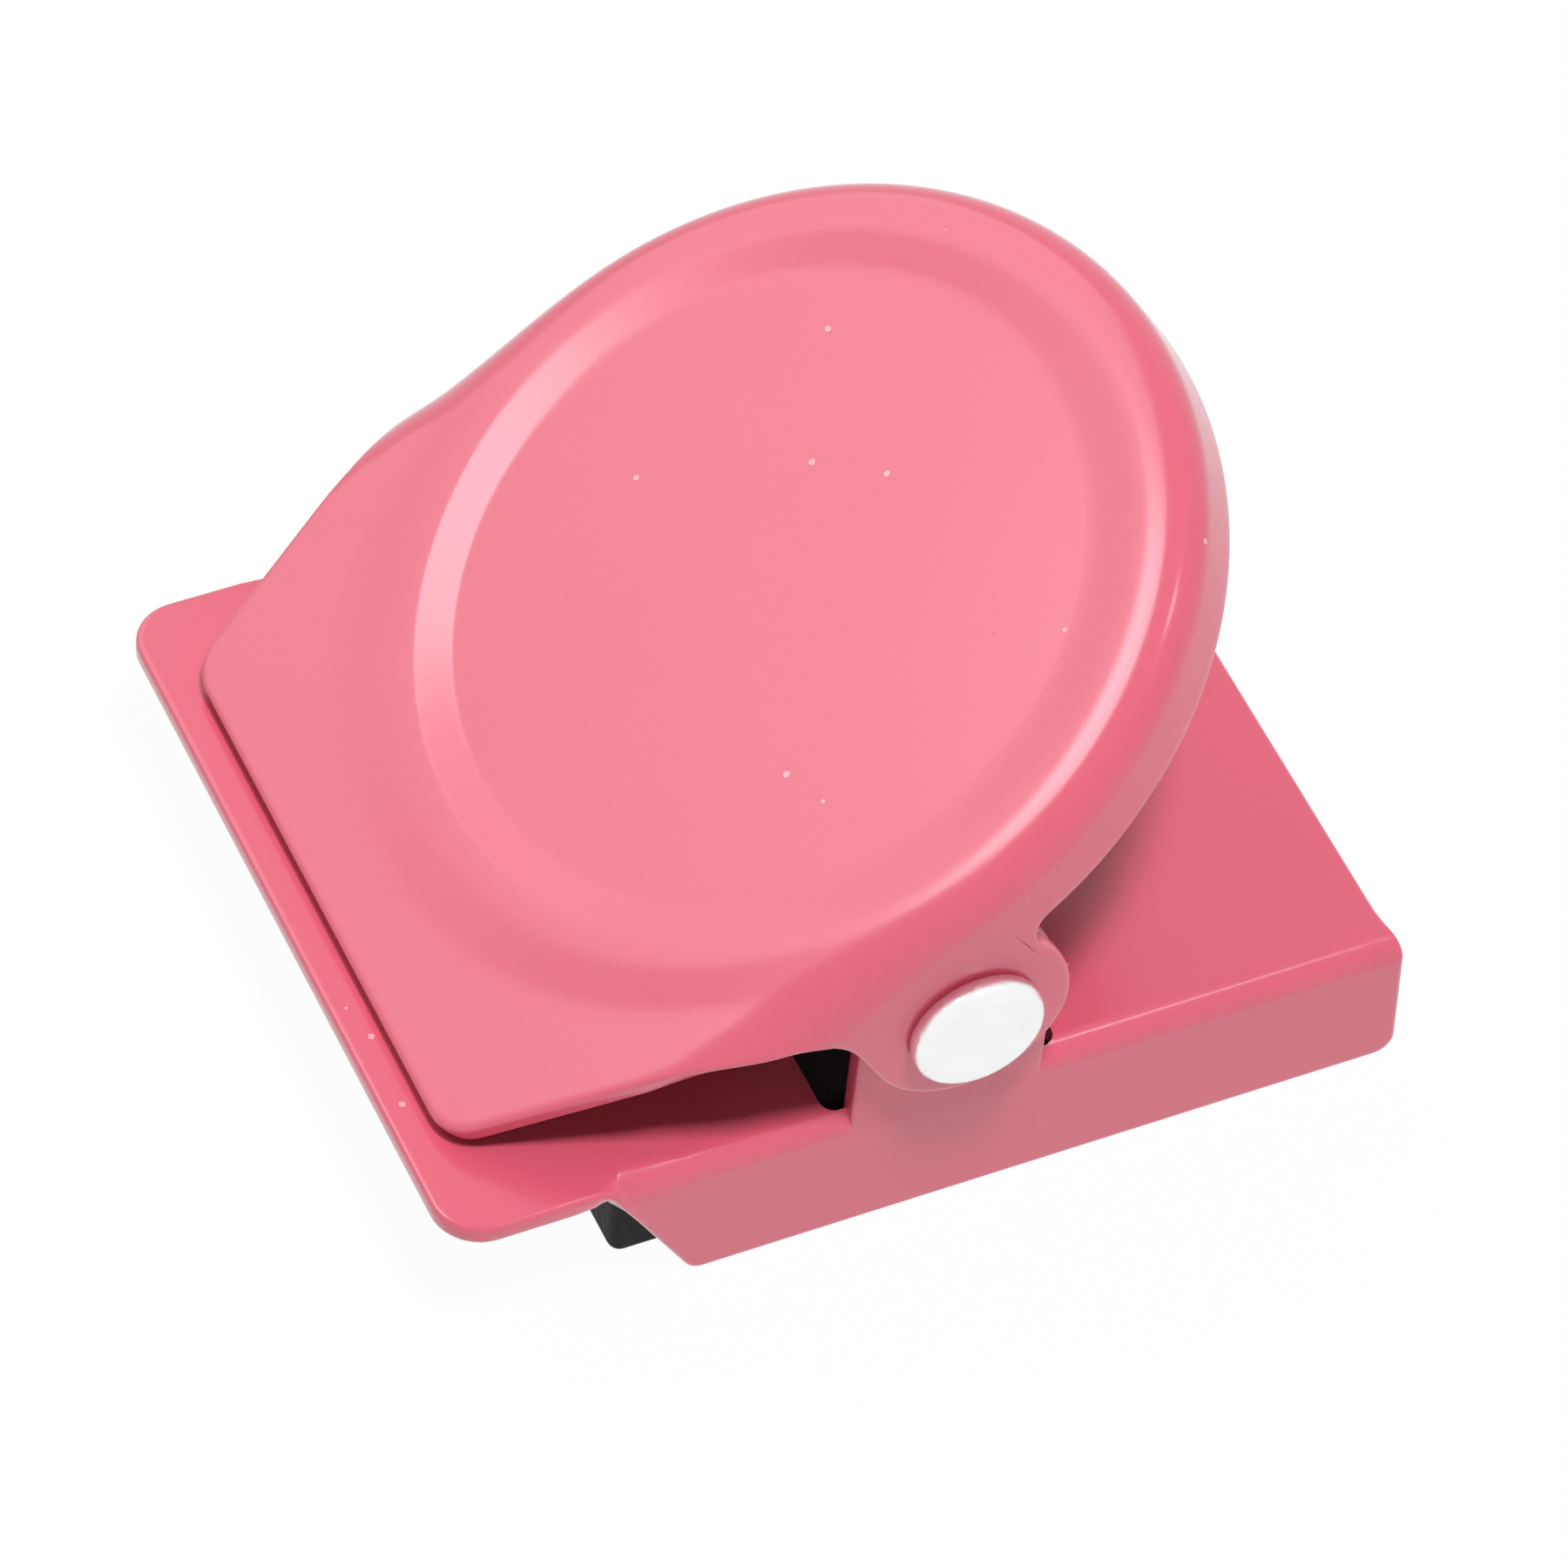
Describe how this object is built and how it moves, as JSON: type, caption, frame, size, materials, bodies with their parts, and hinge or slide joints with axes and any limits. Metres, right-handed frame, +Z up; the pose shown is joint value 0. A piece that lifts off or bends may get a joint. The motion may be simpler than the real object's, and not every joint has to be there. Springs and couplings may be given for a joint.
{
  "type": "magnetic clip",
  "caption": "Spring-loaded paper clip of painted sheet steel with a dished round thumb pad, a hinged flat jaw on a rivet and a block magnet bonded under its base.",
  "frame": {"origin": "on the surface that the clip rests on, under the middle of the base", "axes": "+X along the rivet, +Y from the jaw to the rear edge, +Z up from the magnet's face"},
  "size_m": [0.0338, 0.0368, 0.0249],
  "materials": {
    "painted_steel": "satin",
    "ferrite": "matte",
    "adhesive": "matte",
    "rivet_steel": "polished",
    "spring_steel": "satin"
  },
  "bodies": {
    "base": {"base_plate": "painted_steel", "magnet": "ferrite", "magnet_adhesive": "adhesive", "pivot_rivet": "rivet_steel", "torsion_spring": "spring_steel"},
    "handle": {"handle": "painted_steel"}
  },
  "joints": [
    {"name": "handle_pivot", "type": "hinge", "parent": "base", "child": "handle", "pos_m": [0, 0.00025, 0.0109], "axis": [-1, 0, 0], "range_deg": [0, 53], "stiffness_Nm_per_rad": 0.03, "springref_deg": -34.38, "deforming": ["torsion_spring"]}
  ]
}
